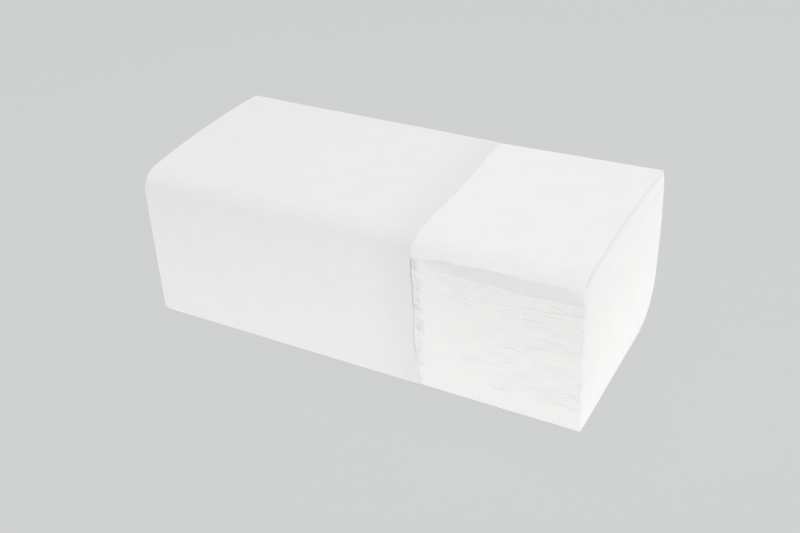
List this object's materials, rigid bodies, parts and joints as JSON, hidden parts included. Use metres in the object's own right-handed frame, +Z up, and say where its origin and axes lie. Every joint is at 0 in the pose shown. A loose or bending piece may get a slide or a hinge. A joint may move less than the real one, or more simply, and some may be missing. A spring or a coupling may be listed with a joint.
{
  "type": "stack of v-fold paper towels",
  "caption": "Stack of interfolded V-fold paper hand towels with a torn-edged white paper band round most of its length, folded edges showing at the free end",
  "frame": {"origin": "centre of the underside of the whole stack, on the surface it stands on", "axes": "+X runs along the folds towards the free end, +Y to the back and +Z up"},
  "size_m": [0.245, 0.1096, 0.0912],
  "materials": {
    "towel": "matte white creped tissue",
    "band": "matte white wrapping paper"
  },
  "bodies": {
    "root": {"towel_stack": "towel", "top_towel": "towel", "paper_band": "band"}
  },
  "joints": []
}
